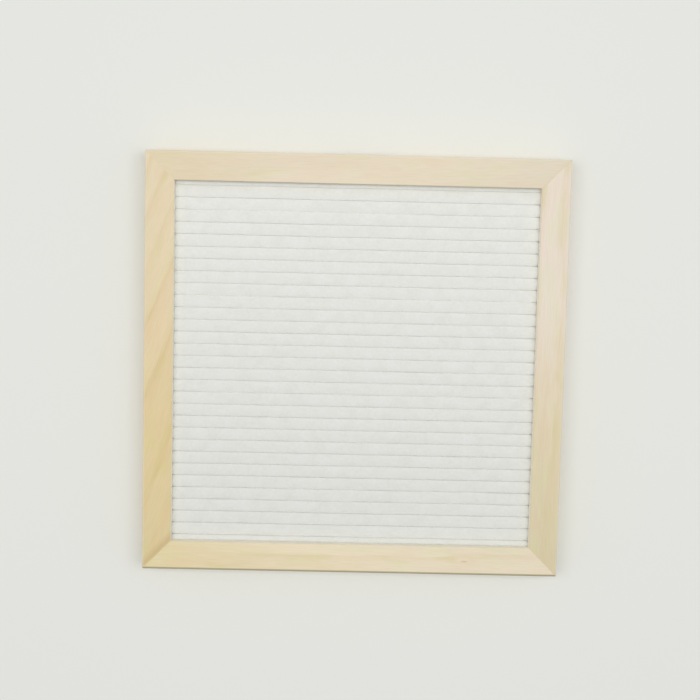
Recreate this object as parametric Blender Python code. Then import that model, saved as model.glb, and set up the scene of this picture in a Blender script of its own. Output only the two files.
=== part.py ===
"""Square felt letter board in a mitred wooden frame, for hanging on a wall or standing on a shelf.

Metres. X runs across the board, Z up, and the felt faces -Y. The origin is the middle of the frame's
bottom edge, halfway through its depth. The frame is four lengths of one rebated moulding, mitred and
held with a V-shaped nail in the back of each corner. Behind its lip lie a pleated felt, the slotted
board that the pleats are pressed into, and a thin back panel that framing points hold in. Letters
are pushed into the slots between two ribs of felt.
"""

import math

import bmesh
import bpy
from mathutils import Vector

# Frame
FRAME_WIDTH = 0.254
FRAME_HEIGHT = 0.254
FRAME_DEPTH = 0.018
RAIL_FACE = 0.0175
LIP_DEPTH = 0.005
REBATE_WIDTH = 0.006
FRONT_EASE = 0.0012
SIGHT_EASE = 0.0005
BACK_EASE = 0.0008
CORNER_EASE = 0.001
MITRE_GAP = 0.0002

# Clearances
SEAT = 0.0003
PANEL_PLAY = 0.0005

# Felt and the slotted board under it
FELT_THICKNESS = 0.0007
SLOT_PITCH = 0.00735
FIRST_SLOT_DROP = 0.0025
SLOT_GAP = 0.0005
SLOT_REACH = 0.004
SLOT_EDGE_RADIUS = 0.0002
RIB_CROWN = 0.00015
BOARD_WEB = 0.0016
BOARD_END_RIB = 0.0015

# Back panel and the points that hold it
PANEL_THICKNESS = 0.0025
POINT_LENGTH = 0.016
POINT_WIDTH = 0.006
POINT_THICKNESS = 0.0005
POINT_BITE = 0.007
POINT_TIP = 0.003
POINT_SPREAD = 0.13

# V-nails in the backs of the mitres
V_NAIL_LEG = 0.005
V_NAIL_THICKNESS = 0.0005
V_NAIL_HEIGHT = 0.008
V_NAIL_INSET = 0.0035

# Sawtooth hanger and its two nails
HANGER_LENGTH = 0.045
HANGER_HEIGHT = 0.008
HANGER_THICKNESS = 0.0006
HANGER_RISE = 0.0015
HANGER_DROP = 0.0018
TAB_LENGTH = 0.0065
TAB_BEND = 0.002
TOOTH_PITCH = 0.002
TOOTH_DEPTH = 0.0012
NAIL_RADIUS = 0.0006
NAIL_LENGTH = 0.01
NAIL_TIP = 0.0015
NAIL_HEAD_RADIUS = 0.0018
NAIL_HEAD_HEIGHT = 0.0008

# Facets
EASE_STEPS = 6
FOLD_STEPS = 4
CROWN_STEPS = 4
PLEAT_TURN_STEPS = 4
HEAD_STEPS = 4
NAIL_SIDES = 16

# Worked out from the sizes above
FRONT_Y = -FRAME_DEPTH / 2
BACK_Y = FRAME_DEPTH / 2
CENTRE_Z = FRAME_HEIGHT / 2
REBATE_WALL = RAIL_FACE - REBATE_WIDTH
LIP_BACK_Y = FRONT_Y + LIP_DEPTH
FELT_Y = LIP_BACK_Y + SEAT + RIB_CROWN
BOARD_Y = FELT_Y + FELT_THICKNESS + SEAT
BOARD_THICKNESS = SLOT_REACH + BOARD_WEB
PANEL_Y = BOARD_Y + BOARD_THICKNESS + SEAT
POINT_Y = PANEL_Y + PANEL_THICKNESS + SEAT
INSERT_WIDTH = FRAME_WIDTH - 2 * (REBATE_WALL + PANEL_PLAY)
INSERT_HEIGHT = FRAME_HEIGHT - 2 * (REBATE_WALL + PANEL_PLAY)
INSERT_BOTTOM_Z = CENTRE_Z - INSERT_HEIGHT / 2
INSERT_TOP_Z = CENTRE_Z + INSERT_HEIGHT / 2
SIGHT_TOP_Z = FRAME_HEIGHT - RAIL_FACE
FOLD_RADIUS = FELT_THICKNESS + SEAT + SLOT_EDGE_RADIUS
BOARD_SLOT_WIDTH = SLOT_GAP + 2 * (FELT_THICKNESS + SEAT)

# How far a cutter runs past the wood that it cuts
CUT_PAST = RAIL_FACE / 4

# Each side and corner is the bottom rail or the bottom left corner, turned about Y
SIDES = {
    "bottom": (0.0, (0, 0, 0), FRAME_WIDTH),
    "right": (-90.0, (FRAME_WIDTH / 2, 0, CENTRE_Z), FRAME_HEIGHT),
    "top": (180.0, (0, 0, FRAME_HEIGHT), FRAME_WIDTH),
    "left": (90.0, (-FRAME_WIDTH / 2, 0, CENTRE_Z), FRAME_HEIGHT),
}
CORNERS = {
    "bottom_left": (0.0, (-FRAME_WIDTH / 2, 0, 0), ("bottom", "left")),
    "bottom_right": (-90.0, (FRAME_WIDTH / 2, 0, 0), ("bottom", "right")),
    "top_right": (180.0, (FRAME_WIDTH / 2, 0, FRAME_HEIGHT), ("top", "right")),
    "top_left": (90.0, (-FRAME_WIDTH / 2, 0, FRAME_HEIGHT), ("top", "left")),
}


def clear_scene():
    for obj in list(bpy.data.objects):
        bpy.data.objects.remove(obj)


def surface(name, colour, roughness, metallic=0.0):
    """A Principled material of one linear colour."""
    made = bpy.data.materials.new(name)
    made.use_nodes = True
    shader = made.node_tree.nodes["Principled BSDF"]
    shader.inputs["Base Color"].default_value = (*colour, 1)
    shader.inputs["Roughness"].default_value = roughness
    shader.inputs["Metallic"].default_value = metallic
    made.diffuse_color = (*colour, 1)
    return made


def place(name, bm, material=None, location=(0, 0, 0), turn=0.0):
    """Turns a bmesh into an object at location, turned by so many degrees about Y."""
    bmesh.ops.recalc_face_normals(bm, faces=bm.faces)
    mesh = bpy.data.meshes.new(name)
    bm.to_mesh(mesh)
    bm.free()
    if material:
        mesh.materials.append(material)
    obj = bpy.data.objects.new(name, mesh)
    obj.location = location
    obj.rotation_euler.y = math.radians(turn)
    bpy.context.scene.collection.objects.link(obj)
    return obj


def cutter(name, bm, location, turn=0.0):
    obj = place(name, bm, None, location, turn)
    obj.hide_render = True
    obj.display_type = "WIRE"
    return obj


def cut(target, tool):
    modifier = target.modifiers.new(tool.name, "BOOLEAN")
    modifier.operation = "DIFFERENCE"
    modifier.solver = "EXACT"
    modifier.object = tool


def arc(centre, radius, start, end, steps):
    """Points of an arc in a plane, from one angle in degrees to another."""
    angles = [math.radians(start + (end - start) * i / steps) for i in range(steps + 1)]
    return [(centre[0] + radius * math.cos(a), centre[1] + radius * math.sin(a)) for a in angles]


def prism(outline, along, start, end):
    """The outline, a list of points in the other two axes in X, Y, Z order, extruded along one axis."""
    others = [axis for axis in range(3) if axis != along]
    bm = bmesh.new()
    verts = []
    for point in outline:
        co = Vector((0, 0, 0))
        co[others[0]], co[others[1]] = point
        co[along] = start
        verts.append(bm.verts.new(co))
    face = bm.faces.new(verts)
    grown = bmesh.ops.extrude_face_region(bm, geom=[face])
    shift = Vector((0, 0, 0))
    shift[along] = end - start
    bmesh.ops.translate(bm, vec=shift, verts=[v for v in grown["geom"] if isinstance(v, bmesh.types.BMVert)])
    return bm


def moulding_section():
    """The rail's section as (y, z), with z running from the outer edge inwards."""
    outer_front = arc((FRONT_Y + FRONT_EASE, FRONT_EASE), FRONT_EASE, 270, 180, EASE_STEPS)
    sight = arc((FRONT_Y + SIGHT_EASE, RAIL_FACE - SIGHT_EASE), SIGHT_EASE, 180, 90, EASE_STEPS)
    lip_and_rebate = [(LIP_BACK_Y, RAIL_FACE), (LIP_BACK_Y, REBATE_WALL), (BACK_Y, REBATE_WALL)]
    outer_back = arc((BACK_Y - BACK_EASE, BACK_EASE), BACK_EASE, 0, -90, EASE_STEPS)
    return outer_front + sight + lip_and_rebate + outer_back


def make_rail(side, material):
    """One length of moulding, mitred at both ends, with half of the glue line left at each mitre."""
    turn, location, length = SIDES[side]
    pull_back = MITRE_GAP / 2 * math.sqrt(2)
    bm = prism(moulding_section(), 0, -1, 1)
    for v in bm.verts:
        v.co.x *= length / 2 - v.co.z - pull_back
    return place(f"rail_{side}", bm, material, location, turn)


def slot_heights():
    """Heights of the slots, from the top one down to the last that leaves an end rib on the board."""
    lowest = INSERT_BOTTOM_Z + BOARD_SLOT_WIDTH / 2 + BOARD_END_RIB
    first = SIGHT_TOP_Z - FIRST_SLOT_DROP
    count = int((first - lowest) / SLOT_PITCH) + 1
    return [first - SLOT_PITCH * i for i in range(count)]


def pleat_line():
    """The felt's front face as (y, z) from top to bottom: crowned ribs, rolled into each slot and out."""
    half_mouth = SLOT_GAP / 2 + FOLD_RADIUS
    roll_y = FELT_Y + FOLD_RADIUS
    turn_y = FELT_Y + SLOT_REACH - SLOT_GAP / 2
    line = [(FELT_Y, INSERT_TOP_Z)]
    above = None
    for z in slot_heights():
        if above is not None:
            rib_top = above - half_mouth
            rib_height = rib_top - (z + half_mouth)
            for i in range(1, CROWN_STEPS):
                along = i / CROWN_STEPS
                crown = RIB_CROWN * 4 * along * (1 - along)
                line.append((FELT_Y - crown, rib_top - rib_height * along))
        line += arc((roll_y, z + half_mouth), FOLD_RADIUS, 180, 270, FOLD_STEPS)
        line += arc((turn_y, z), SLOT_GAP / 2, 90, -90, PLEAT_TURN_STEPS)
        line += arc((roll_y, z - half_mouth), FOLD_RADIUS, 90, 180, FOLD_STEPS)
        above = z
    return line + [(FELT_Y, INSERT_BOTTOM_Z)]


def make_felt(material):
    """One sheet that follows the pleat line, given the felt's thickness behind it."""
    bm = bmesh.new()
    verts = [bm.verts.new((-INSERT_WIDTH / 2, y, z)) for y, z in pleat_line()]
    edges = [bm.edges.new(pair) for pair in zip(verts, verts[1:])]
    grown = bmesh.ops.extrude_edge_only(bm, edges=edges)
    moved = [v for v in grown["geom"] if isinstance(v, bmesh.types.BMVert)]
    bmesh.ops.translate(bm, vec=(INSERT_WIDTH, 0, 0), verts=moved)
    felt = place("felt_facing", bm, material)
    top_rib = felt.data.polygons[0]
    if top_rib.normal.y > 0:
        felt.data.flip_normals()
    thickness = felt.modifiers.new("thickness", "SOLIDIFY")
    thickness.thickness = FELT_THICKNESS
    thickness.offset = -1
    thickness.use_even_offset = True
    return felt


def make_slotted_board(material):
    """A flat board with a slot behind every pleat; the slots' outer edges are rounded."""
    radius = SLOT_EDGE_RADIUS
    half_slot = BOARD_SLOT_WIDTH / 2
    slot_floor = BOARD_Y + SLOT_REACH
    outline = [(BOARD_Y, INSERT_TOP_Z)]
    for z in slot_heights():
        outline += arc((BOARD_Y + radius, z + half_slot + radius), radius, 180, 270, FOLD_STEPS)
        outline += [(slot_floor, z + half_slot), (slot_floor, z - half_slot)]
        outline += arc((BOARD_Y + radius, z - half_slot - radius), radius, 90, 180, FOLD_STEPS)
    outline += [(BOARD_Y, INSERT_BOTTOM_Z)]
    outline += [(BOARD_Y + BOARD_THICKNESS, INSERT_BOTTOM_Z), (BOARD_Y + BOARD_THICKNESS, INSERT_TOP_Z)]
    return place("slotted_board", prism(outline, 0, -INSERT_WIDTH / 2, INSERT_WIDTH / 2), material)


def make_back_panel(material):
    right, left = INSERT_WIDTH / 2, -INSERT_WIDTH / 2
    outline = [(left, INSERT_BOTTOM_Z), (right, INSERT_BOTTOM_Z), (right, INSERT_TOP_Z), (left, INSERT_TOP_Z)]
    return place("back_panel", prism(outline, 1, PANEL_Y, PANEL_Y + PANEL_THICKNESS), material)


def point_outline(grow):
    """A framing point as (x, z) on the bottom rail, grown all round for its slot; the tip is in the wood."""
    half = POINT_WIDTH / 2 + grow
    tip = REBATE_WALL - POINT_BITE - grow
    shoulder = tip + POINT_TIP
    end = REBATE_WALL - POINT_BITE + POINT_LENGTH + grow
    return [(-half / 3, tip), (half / 3, tip), (half, shoulder), (half, end), (-half, end), (-half, shoulder)]


def add_points(rails, material):
    """Two framing points on each side, each with its slot in the rail."""
    for side, rail in rails.items():
        turn, location, _ = SIDES[side]
        for end, shift in (("a", -POINT_SPREAD / 2), ("b", POINT_SPREAD / 2)):
            across = Vector((math.cos(math.radians(turn)), 0, -math.sin(math.radians(turn))))
            spot = Vector(location) + across * shift
            body = prism(point_outline(0), 1, POINT_Y, POINT_Y + POINT_THICKNESS)
            place(f"framing_point_{side}_{end}", body, material, spot, turn)
            room = prism(point_outline(SEAT), 1, POINT_Y - SEAT, POINT_Y + POINT_THICKNESS + SEAT)
            cut(rail, cutter(f"point_slot_{side}_{end}", room, spot, turn))


def v_nail_outline(grow):
    """A V-nail as (x, z) at the bottom left corner: its point on the mitre, a leg along each rail."""
    near = V_NAIL_INSET - grow
    inside = V_NAIL_INSET + V_NAIL_THICKNESS + grow
    far = V_NAIL_INSET + V_NAIL_LEG + grow
    return [(near, near), (far, near), (far, inside), (inside, inside), (inside, far), (near, far)]


def corner_waste():
    """What sanding takes off the bottom left corner, as (x, z): all that lies outside a small round."""
    rounded = arc((CORNER_EASE, CORNER_EASE), CORNER_EASE, 180, 270, EASE_STEPS)
    return rounded + [(CORNER_EASE, -CUT_PAST), (-CUT_PAST, -CUT_PAST), (-CUT_PAST, CORNER_EASE)]


def add_corners(rails, material):
    """At each corner: a V-nail sunk in the back across the mitre, and the outer edge sanded round."""
    back_end = BACK_Y - SEAT
    for corner, (turn, location, sides) in CORNERS.items():
        nail = prism(v_nail_outline(0), 1, back_end - V_NAIL_HEIGHT, back_end)
        place(f"v_nail_{corner}", nail, material, location, turn)
        slot = prism(v_nail_outline(SEAT), 1, back_end - V_NAIL_HEIGHT - SEAT, BACK_Y + CUT_PAST)
        waste = prism(corner_waste(), 1, FRONT_Y - CUT_PAST, BACK_Y + CUT_PAST)
        tools = [
            cutter(f"v_slot_{corner}", slot, location, turn),
            cutter(f"corner_waste_{corner}", waste, location, turn),
        ]
        for side in sides:
            for tool in tools:
                cut(rails[side], tool)


def turned(profile, sides):
    """A shape turned about Y from a profile of (radius, y) whose first and last points are on the axis."""
    bm = bmesh.new()
    verts = [bm.verts.new((radius, y, 0)) for radius, y in profile]
    edges = [bm.edges.new(pair) for pair in zip(verts, verts[1:])]
    bmesh.ops.spin(
        bm,
        geom=verts + edges,
        axis=(0, 1, 0),
        cent=(0, 0, 0),
        angle=2 * math.pi,
        steps=sides,
        use_merge=True,
    )
    bmesh.ops.remove_doubles(bm, verts=bm.verts, dist=NAIL_RADIUS / 100)
    return bm


def hanger_outline():
    """The hanger's flat blank as (x, z) from its top edge down, with teeth between the two tabs."""
    half = HANGER_LENGTH / 2
    toothed = half - TAB_LENGTH - TAB_BEND
    count = max(2, 2 * int(toothed / TOOTH_PITCH))
    start = -count * TOOTH_PITCH / 2
    gullet = -HANGER_HEIGHT + TOOTH_DEPTH
    outline = [(half, 0), (-half, 0), (-half, -HANGER_HEIGHT), (start, -HANGER_HEIGHT)]
    for i in range(count):
        left = start + i * TOOTH_PITCH
        outline += [(left + TOOTH_PITCH / 2, gullet), (left + TOOTH_PITCH, -HANGER_HEIGHT)]
    return outline + [(half, -HANGER_HEIGHT)]


def add_hanger(rail, material):
    """The toothed strip on the back of the top rail, its tabs nailed down and its middle standing off."""
    tab_end = HANGER_LENGTH / 2 - TAB_LENGTH
    bm = prism(hanger_outline(), 1, 0, HANGER_THICKNESS)
    for x in (-tab_end, -tab_end + TAB_BEND, tab_end - TAB_BEND, tab_end):
        everything = bm.verts[:] + bm.edges[:] + bm.faces[:]
        bmesh.ops.bisect_plane(bm, geom=everything, plane_co=(x, 0, 0), plane_no=(1, 0, 0))
    for v in bm.verts:
        v.co.y += HANGER_RISE * min(1, max(0, (tab_end - abs(v.co.x)) / TAB_BEND))
    top_z = FRAME_HEIGHT - HANGER_DROP
    hanger = place("sawtooth_hanger", bm, material, (0, BACK_Y + SEAT, top_z))
    head_y = BACK_Y + 2 * SEAT + HANGER_THICKNESS
    tip_y = head_y - NAIL_LENGTH
    dome = arc((0, head_y), 1, 0, 90, HEAD_STEPS)
    head = [(x * NAIL_HEAD_RADIUS, head_y + (y - head_y) * NAIL_HEAD_HEIGHT) for x, y in dome[:-1]]
    shank = [(0, tip_y), (NAIL_RADIUS, tip_y + NAIL_TIP), (NAIL_RADIUS, head_y)]
    profile = shank + head + [(0, head_y + NAIL_HEAD_HEIGHT)]
    for side, x in (("left", -1), ("right", 1)):
        spot = (x * (HANGER_LENGTH / 2 - TAB_LENGTH / 2), 0, top_z - HANGER_HEIGHT / 2)
        nail = place(f"hanger_nail_{side}", turned(profile, NAIL_SIDES), material, spot)
        nail.data.shade_smooth()
        nail.data.set_sharp_from_angle(angle=math.radians(40))
        bore = NAIL_RADIUS + SEAT
        room = [(0, tip_y - SEAT), (bore, tip_y - SEAT), (bore, head_y + CUT_PAST), (0, head_y + CUT_PAST)]
        hole = cutter(f"nail_hole_{side}", turned(room, NAIL_SIDES), spot)
        cut(rail, hole)
        cut(hanger, hole)


def build():
    clear_scene()
    pine = surface("pale_pine", (0.76, 0.62, 0.40), 0.55)
    felt = surface("white_felt", (0.78, 0.78, 0.75), 0.95)
    board_plastic = surface("board_plastic", (0.55, 0.55, 0.53), 0.6)
    hardboard = surface("hardboard", (0.27, 0.16, 0.08), 0.75)
    zinc = surface("zinc_steel", (0.62, 0.62, 0.60), 0.35, 1.0)
    rails = {side: make_rail(side, pine) for side in SIDES}
    make_felt(felt)
    make_slotted_board(board_plastic)
    make_back_panel(hardboard)
    add_points(rails, zinc)
    add_corners(rails, zinc)
    add_hanger(rails["top"], zinc)


build()
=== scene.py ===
# %% [markdown]
# # A felt letter board, dressed for its picture
# The board is a square pine frame round one sheet of white felt. The felt is pleated into the slots
# of a hidden board, and letters are pushed between its ribs. The solids arrive with their real sizes,
# so nothing here is measured by eye: this lesson loads them, gives each its finish, and swaps the
# plain felt for a sheet that was creased by hand.

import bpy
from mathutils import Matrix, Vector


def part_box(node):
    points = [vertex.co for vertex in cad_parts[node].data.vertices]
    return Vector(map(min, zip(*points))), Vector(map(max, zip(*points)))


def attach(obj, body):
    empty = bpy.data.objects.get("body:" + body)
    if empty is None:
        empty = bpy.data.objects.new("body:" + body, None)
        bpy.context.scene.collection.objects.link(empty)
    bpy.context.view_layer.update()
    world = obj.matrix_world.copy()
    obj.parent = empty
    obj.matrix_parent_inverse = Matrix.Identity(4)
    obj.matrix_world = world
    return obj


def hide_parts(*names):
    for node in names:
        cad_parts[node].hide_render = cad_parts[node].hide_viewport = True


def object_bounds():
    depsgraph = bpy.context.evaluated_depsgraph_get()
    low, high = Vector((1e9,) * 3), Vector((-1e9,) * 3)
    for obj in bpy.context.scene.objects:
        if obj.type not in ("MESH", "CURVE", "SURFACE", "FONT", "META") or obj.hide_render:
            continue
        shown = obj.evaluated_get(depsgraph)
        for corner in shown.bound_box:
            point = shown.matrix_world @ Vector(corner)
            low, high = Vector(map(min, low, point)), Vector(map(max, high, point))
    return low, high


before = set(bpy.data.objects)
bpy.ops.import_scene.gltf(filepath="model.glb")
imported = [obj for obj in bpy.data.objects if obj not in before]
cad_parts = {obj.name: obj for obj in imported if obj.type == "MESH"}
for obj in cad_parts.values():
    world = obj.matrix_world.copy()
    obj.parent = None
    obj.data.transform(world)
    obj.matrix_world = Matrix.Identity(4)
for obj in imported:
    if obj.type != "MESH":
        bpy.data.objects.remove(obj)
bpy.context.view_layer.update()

# %% [markdown]
# ## Sizes that the finishes share
# A pattern looks right only at its real scale, so every length below is a real one. What the solids
# can tell is read from them: where the front of the frame lies, how wide a rail is, where the felt
# starts and ends. The rest are a maker's sizes, such as the distance between two slots.

# %% Sizes
import math

import bmesh
import bpy
from mathutils import Euler, Vector, noise

MM = 0.001

frame_low, frame_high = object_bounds()
left_low, left_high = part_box("rail_left")
felt_low, felt_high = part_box("felt_facing")

FRAME_SIDE = frame_high.x - frame_low.x
RAIL_FACE = left_high.x - left_low.x
SIGHT_HALF = FRAME_SIDE / 2 - RAIL_FACE
CENTRE = Vector((0, 0, (frame_low.z + frame_high.z) / 2))
SIDE_CENTRES = {
    "top": Vector((0, 0, frame_high.z - RAIL_FACE / 2)),
    "bottom": Vector((0, 0, frame_low.z + RAIL_FACE / 2)),
    "left": Vector((frame_low.x + RAIL_FACE / 2, 0, CENTRE.z)),
    "right": Vector((frame_high.x - RAIL_FACE / 2, 0, CENTRE.z)),
}
print("rail face in mm:", round(RAIL_FACE / MM, 2), "frame side in mm:", round(FRAME_SIDE / MM, 1))

# %% [markdown]
# ## Colours, nodes and finishes
# Paint charts and photographs give colours as sRGB hex values, while a shader works in linear light.
# One function turns the first into the second, so that every colour below can be read off a chart.
# Another adds a node, gives it its settings and links it, which keeps each finish short. The last two
# start a finish with the values that are the same all over it, and put it on a solid.

# %% Colours, nodes and finishes
MIX_A, MIX_B, MIX_OUT = 6, 7, 2


def linear(hex_colour):
    """An sRGB hex value such as #E6D9B8 as linear red, green, blue and an alpha of 1."""
    channels = [int(hex_colour[i : i + 2], 16) / 255 for i in (1, 3, 5)]
    bent = [c / 12.92 if c <= 0.04045 else ((c + 0.055) / 1.055) ** 2.4 for c in channels]
    return (*bent, 1.0)


def add(tree, kind, sockets=None, stops=None, **settings):
    """Adds a node. sockets gives inputs a value or another node's output, stops a ramp its colours."""
    node = tree.nodes.new("ShaderNode" + kind)
    for name, value in settings.items():
        setattr(node, name, value)
    for key, value in (sockets or {}).items():
        if isinstance(value, bpy.types.NodeSocket):
            tree.links.new(value, node.inputs[key])
        else:
            node.inputs[key].default_value = value
    if stops:
        ramp = node.color_ramp
        ramp.elements[0].position, ramp.elements[0].color = stops[0][0], linear(stops[0][1])
        ramp.elements[1].position, ramp.elements[1].color = stops[-1][0], linear(stops[-1][1])
        for position, colour in stops[1:-1]:
            ramp.elements.new(position).color = linear(colour)
    return node


def finish_named(name, **sockets):
    """An empty finish: its material, its node tree and its Principled shader, with plain values set."""
    made = bpy.data.materials.new(name)
    made.use_nodes = True
    shader = made.node_tree.nodes["Principled BSDF"]
    for socket, value in sockets.items():
        shader.inputs[socket.replace("_", " ")].default_value = value
    return made, made.node_tree, shader


def wear(node_name, finish):
    """Gives a solid its finish in place of the plain one it came with."""
    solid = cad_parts[node_name]
    solid.data.materials.clear()
    solid.data.materials.append(finish)


print("white is", [round(c, 3) for c in linear("#FFFFFF")])

# %% [markdown]
# ## Streaks, and places measured from the middle
# Wood fibres, the lines that an extruder's die leaves and those of a rolling mill are all long, thin
# marks. An image of them would need unwrapping and would end at an edge. A round noise does better:
# it turns into streaks when its space is squeezed more across than along, and the two sizes are then
# a streak's real length and width. Most of a noise lies between 0.3 and 0.7, so a finish spreads that
# part over its tones. The board is square, so how far a place lies from its middle, sideways or up and
# down, whichever is more, tells whether it is near an edge.

# %% Streaks, and places measured from the middle
MIDDLE = {"From Min": 0.3, "From Max": 0.7}


def streaks(tree, place, length, width, detail=2.0):
    """A noise drawn out along X into streaks of about this length and width."""
    drawn = add(tree, "Mapping", {"Vector": place, "Scale": (1 / length, 1 / width, 1 / width)}).outputs[0]
    return add(tree, "TexNoise", {"Vector": drawn, "Scale": 1.0, "Detail": detail}).outputs[0]


def out_from_middle(tree, place):
    """How far a place lies from the board's middle, sideways or up and down, whichever is more."""
    centred = add(tree, "VectorMath", {0: place, 1: CENTRE}, operation="SUBTRACT").outputs[0]
    apart = add(tree, "VectorMath", {0: centred}, operation="ABSOLUTE").outputs[0]
    sides = add(tree, "SeparateXYZ", {0: apart}).outputs
    return add(tree, "Math", {0: sides["X"], 1: sides["Z"]}, operation="MAXIMUM").outputs[0]


print("from the middle to the lip in mm:", round(SIGHT_HALF / MM, 1))

# %% [markdown]
# ## Sanded pine
# The rails are planed softwood, sanded and left bare. A picture of wood stretched along a bar looks
# wrong at its edges, because grain runs through the wood and not over it. So each rail is cut from a
# tree: its year rings are the distance from the tree's axis, the pith, and the rail's faces only show
# where they pass. The pith lies some way behind the face and is turned a little against the rail, as
# in any batten, and that slant is what draws long leaning streaks on one face and straight lines on
# the next. Early wood is pale, late wood darker, and no two years are alike: each draws its own
# strength, and along a year the late wood fades out and comes back.

# %% Year rings
RING_WARP = 0.9
DRIFT_LENGTH = 60 * MM
DRIFT_WIDTH = 9 * MM
HUE_LENGTH = 26 * MM
HUE_WIDTH = 6 * MM
FAINTEST_YEAR = 0.35
LATE_FADE = {"From Min": 0.38, "From Max": 0.58, "To Min": 0.35, "To Max": 1.25}
ONE_YEAR = [(0.0, "#404040"), (0.12, "#000000"), (0.5, "#282828"), (0.86, "#FFFFFF"), (1.0, "#404040")]


def in_the_tree(tree, place, side, turn, slant, lean, pith):
    """A place as the tree has it: X along the pith, Y and Z out from it."""
    cut = Euler((0, math.radians(turn + slant), math.radians(lean)))
    start = Vector((0, *pith)) - cut.to_matrix() @ SIDE_CENTRES[side]
    return add(tree, "Mapping", {"Vector": place, "Location": start, "Rotation": cut}).outputs[0]


def late_wood(tree, grain, drift, patches, ring, late_share, pushed):
    """How much late wood shows at a place. pushed is how far a knot moves the rings, or None."""
    axes = add(tree, "SeparateXYZ", {0: grain}).outputs
    spoke = add(tree, "CombineXYZ", {1: axes["Y"], 2: axes["Z"]}).outputs[0]
    radius = add(tree, "VectorMath", {0: spoke}, operation="LENGTH").outputs["Value"]
    even_years = add(tree, "Math", {0: radius, 1: 1 / ring}, operation="MULTIPLY").outputs[0]
    years = add(tree, "Math", {0: drift, 1: RING_WARP, 2: even_years}, operation="MULTIPLY_ADD").outputs[0]
    if pushed:
        years = add(tree, "Math", {0: years, 1: pushed}, operation="ADD").outputs[0]
    through_year = add(tree, "Math", {0: years}, operation="FRACT").outputs[0]
    late = add(tree, "ValToRGB", {0: through_year}, stops=ONE_YEAR).outputs[0]
    year = add(tree, "Math", {0: years}, operation="FLOOR").outputs[0]
    luck = add(tree, "TexWhiteNoise", {"W": year}, noise_dimensions="1D").outputs["Value"]
    year_share = add(
        tree, "MapRange", {"Value": luck, "To Min": FAINTEST_YEAR * late_share, "To Max": late_share}
    ).outputs[0]
    fade = add(tree, "MapRange", {"Value": patches, **LATE_FADE}).outputs[0]
    faded = add(tree, "Math", {0: year_share, 1: fade}, operation="MULTIPLY").outputs[0]
    return add(tree, "Math", {0: late, 1: faded}, operation="MULTIPLY").outputs[0]


print("a ring strays by up to", RING_WARP, "of a year along", round(DRIFT_LENGTH / MM), "mm")

# %% [markdown]
# ## Marks of making and use
# A few small marks keep a frame from looking drawn. The inside of the lip is painted paler, a painted
# highlight on a face that lies in shade. The outer arrises, the long front edges that sandpaper rounds
# over, are paler than the faces, partly from sanding and partly as a painted highlight. The lowest arris
# is painted darker, as painted shade on the edge that faces down. At the lower left mitre the left
# rail's end took up a little glue and darkened, and the bottom rail has a pin knot that pushes the rings
# aside. Painting them on would tie them to one view. Here each is a mask, worked out from the real
# distance to its edge or spot, so it lies in the wood from every side.

# %% Edges
SIGHT_EASE = 0.15 * MM
ARRIS_EASE = 1.2 * MM
ARRIS_CORE = 0.6
# How much paler the outer arris is painted: sanding wear and a painted highlight.
ARRIS_WEAR_AND_HIGHLIGHT = 0.3
# Painted shade on the lowest arris, which faces down, up to this height.
FOOT_SHADE_HEIGHT = 1.6 * MM
FOOT_SHADE_CORE = 0.65


def edge_marks(tree, place):
    """Masks that are 1 for the lip's painted highlight, the arris's wear and highlight, the foot's painted
    shade.
    """
    axes = add(tree, "SeparateXYZ", {0: place}).outputs
    out = out_from_middle(tree, place)
    # The lip's inner edge: where a painted highlight goes.
    lip = add(
        tree, "MapRange", {"Value": out, "From Min": SIGHT_HALF + SIGHT_EASE, "From Max": SIGHT_HALF}
    ).outputs[0]
    inside = add(tree, "Math", {0: FRAME_SIDE / 2, 1: out}, operation="SUBTRACT").outputs[0]
    behind = add(tree, "Math", {0: axes["Y"], 1: frame_low.y}, operation="SUBTRACT").outputs[0]
    from_arris = add(tree, "Math", {0: inside, 1: behind}, operation="ADD").outputs[0]
    # The outer front arris: where sanding wear and a painted highlight go.
    arris = add(
        tree,
        "MapRange",
        {"Value": from_arris, "From Min": ARRIS_EASE, "From Max": ARRIS_EASE * ARRIS_CORE},
    ).outputs[0]
    # The lowest arris: where painted shade goes.
    from_foot = add(tree, "Math", {0: axes["Z"], 1: behind}, operation="ADD").outputs[0]
    foot_shade = add(
        tree,
        "MapRange",
        {"Value": from_foot, "From Min": FOOT_SHADE_HEIGHT, "From Max": FOOT_SHADE_HEIGHT * FOOT_SHADE_CORE},
    ).outputs[0]
    return lip, arris, foot_shade


print("arris worn in mm:", round(ARRIS_EASE / MM, 1), "foot soiled in mm:", round(FOOT_SHADE_HEIGHT / MM, 1))

# %% A mitre that took up glue
STAIN_WIDTH = 5.5 * MM
STAIN_DEPTH = 0.8
DIAGONAL = math.sqrt(0.5)
STAIN_FADE = [(0.0, "#808080"), (0.25, "#FFFFFF"), (0.6, "#C0C0C0"), (1.0, "#000000")]


def mitre_stain(tree, place):
    """A mask along the lower left mitre, on the left rail's side of it."""
    across = add(
        tree, "VectorMath", {0: place, 1: (-DIAGONAL, 0, DIAGONAL)}, operation="DOT_PRODUCT"
    ).outputs["Value"]
    from_mitre = add(
        tree, "Math", {0: across, 1: DIAGONAL * FRAME_SIDE / 2}, operation="SUBTRACT"
    ).outputs[0]
    share = add(tree, "MapRange", {"Value": from_mitre, "From Max": STAIN_WIDTH}).outputs[0]
    return add(tree, "ValToRGB", {0: share}, stops=STAIN_FADE).outputs[0]


print("glue darkens the wood for", round(STAIN_WIDTH / MM, 1), "mm from the mitre")

# %% A pin knot
KNOT_REACH = (13 * MM, 3.2 * MM)
KNOT_TURN = -14
KNOT_CORE = 0.22
KNOT_PUSH = 0.45
KNOT_DEPTH = 0.45
KNOT_COLOUR = "#C4A878"


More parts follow.
